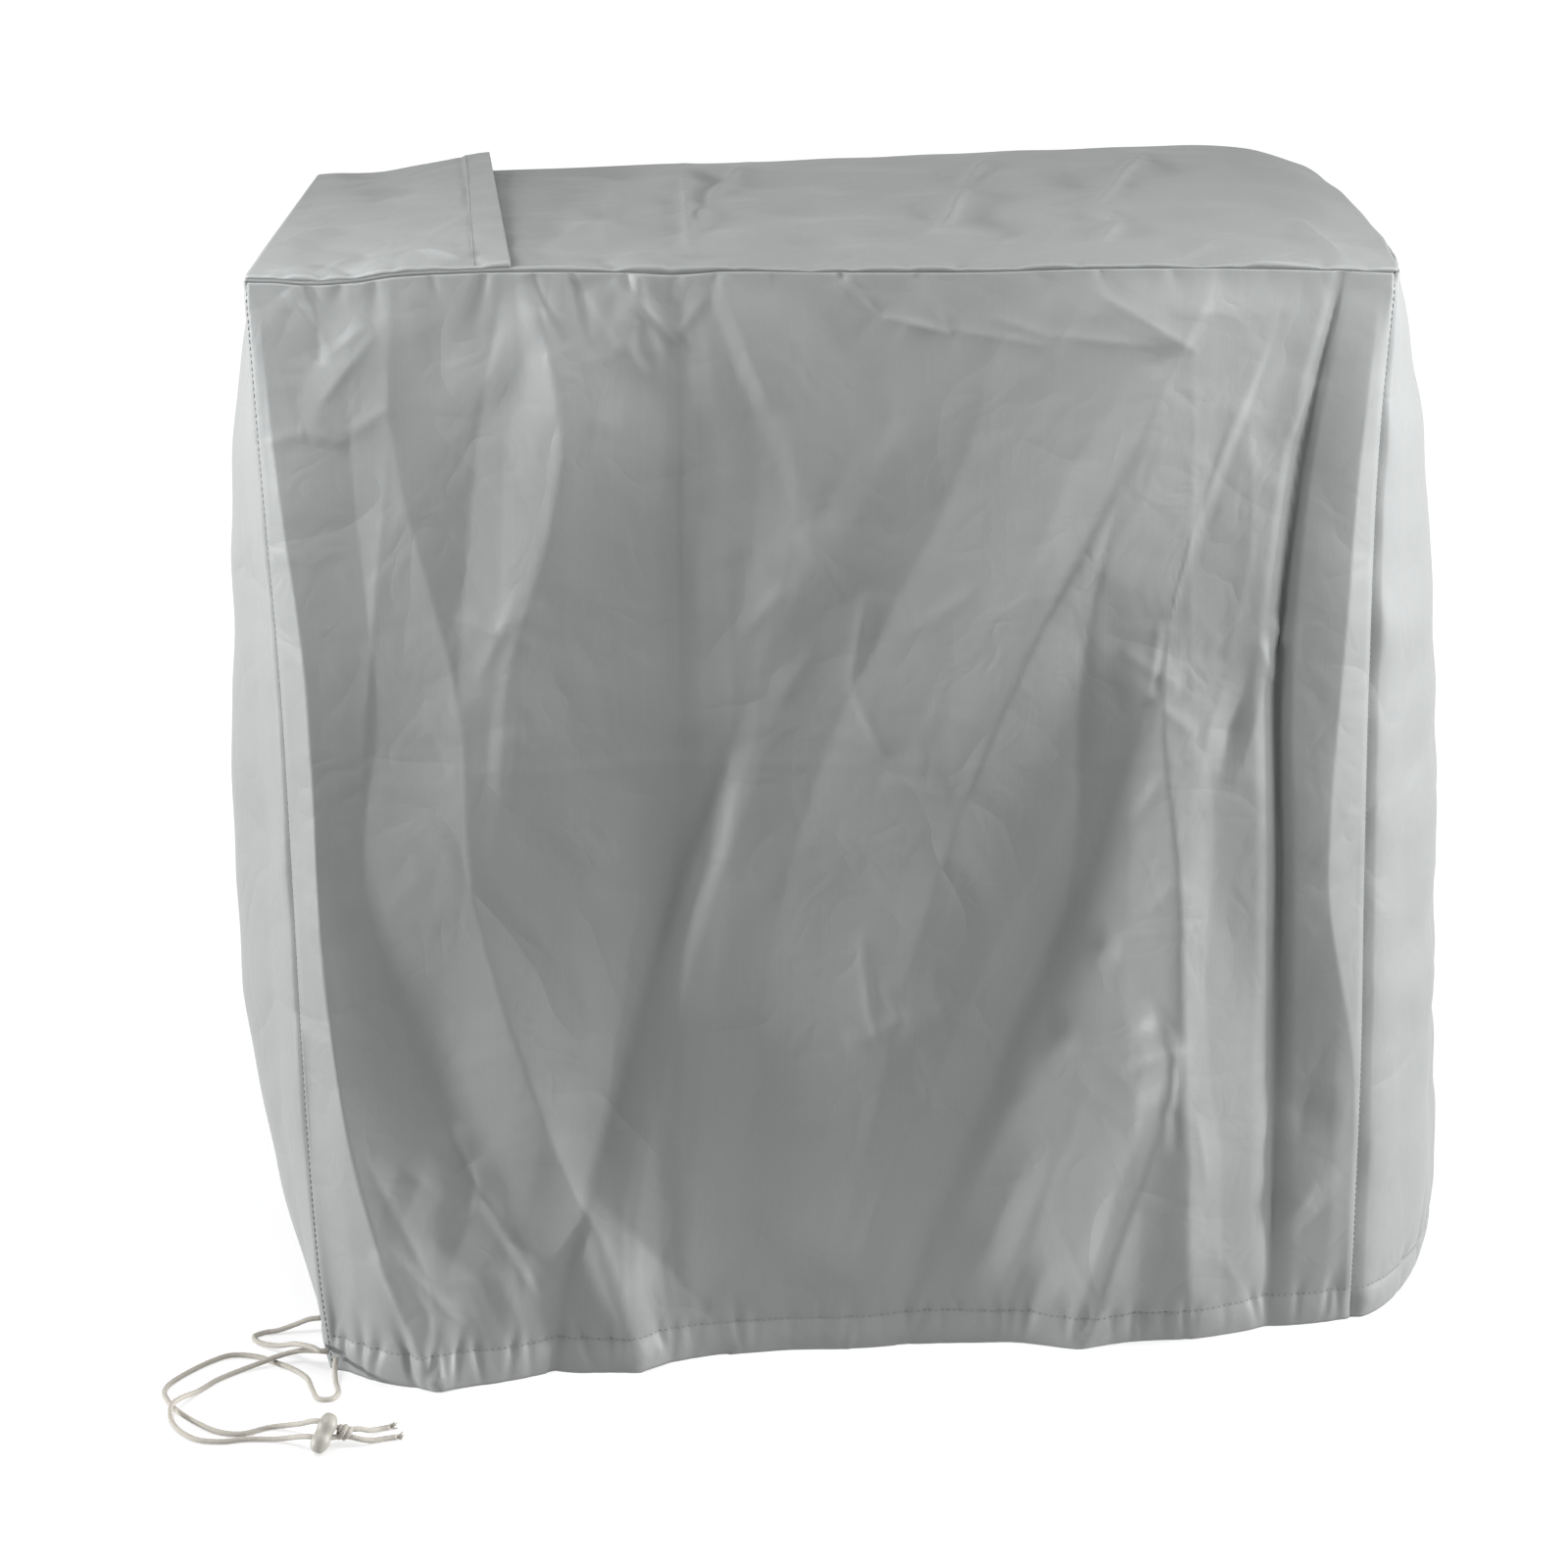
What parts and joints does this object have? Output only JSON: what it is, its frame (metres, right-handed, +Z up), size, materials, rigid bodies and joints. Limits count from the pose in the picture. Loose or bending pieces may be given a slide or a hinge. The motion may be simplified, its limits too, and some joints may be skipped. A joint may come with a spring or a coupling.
{
  "type": "hose reel cover",
  "caption": "Box-shaped grey cloth cover that hangs over a hose reel, with folded sides, a loose flap on top and a drawn casing with a cord, lock and knot at its lower edge.",
  "frame": {"origin": "underside of the top at its middle, where the reel carries the cover", "axes": "+Z up; the front, with the cord at its lower left corner, faces -Y; +X to the viewer's right"},
  "size_m": [0.7416, 0.4819, 0.6324],
  "materials": {
    "cover_cloth": "satin, fine plain weave with a water-shedding coat",
    "cord": "matte braid",
    "lock": "smooth, slightly soft"
  },
  "bodies": {
    "root": {"top_panel": "cover_cloth", "front_panel": "cover_cloth", "back_panel": "cover_cloth", "left_panel": "cover_cloth", "right_panel": "cover_cloth", "top_flap": "cover_cloth", "draw_cord_front": "cord", "draw_cord_side": "cord", "draw_cord_bight": "cord", "tail_front": "cord", "tail_side": "cord", "cord_knot": "cord", "cord_lock": "lock"}
  },
  "joints": []
}
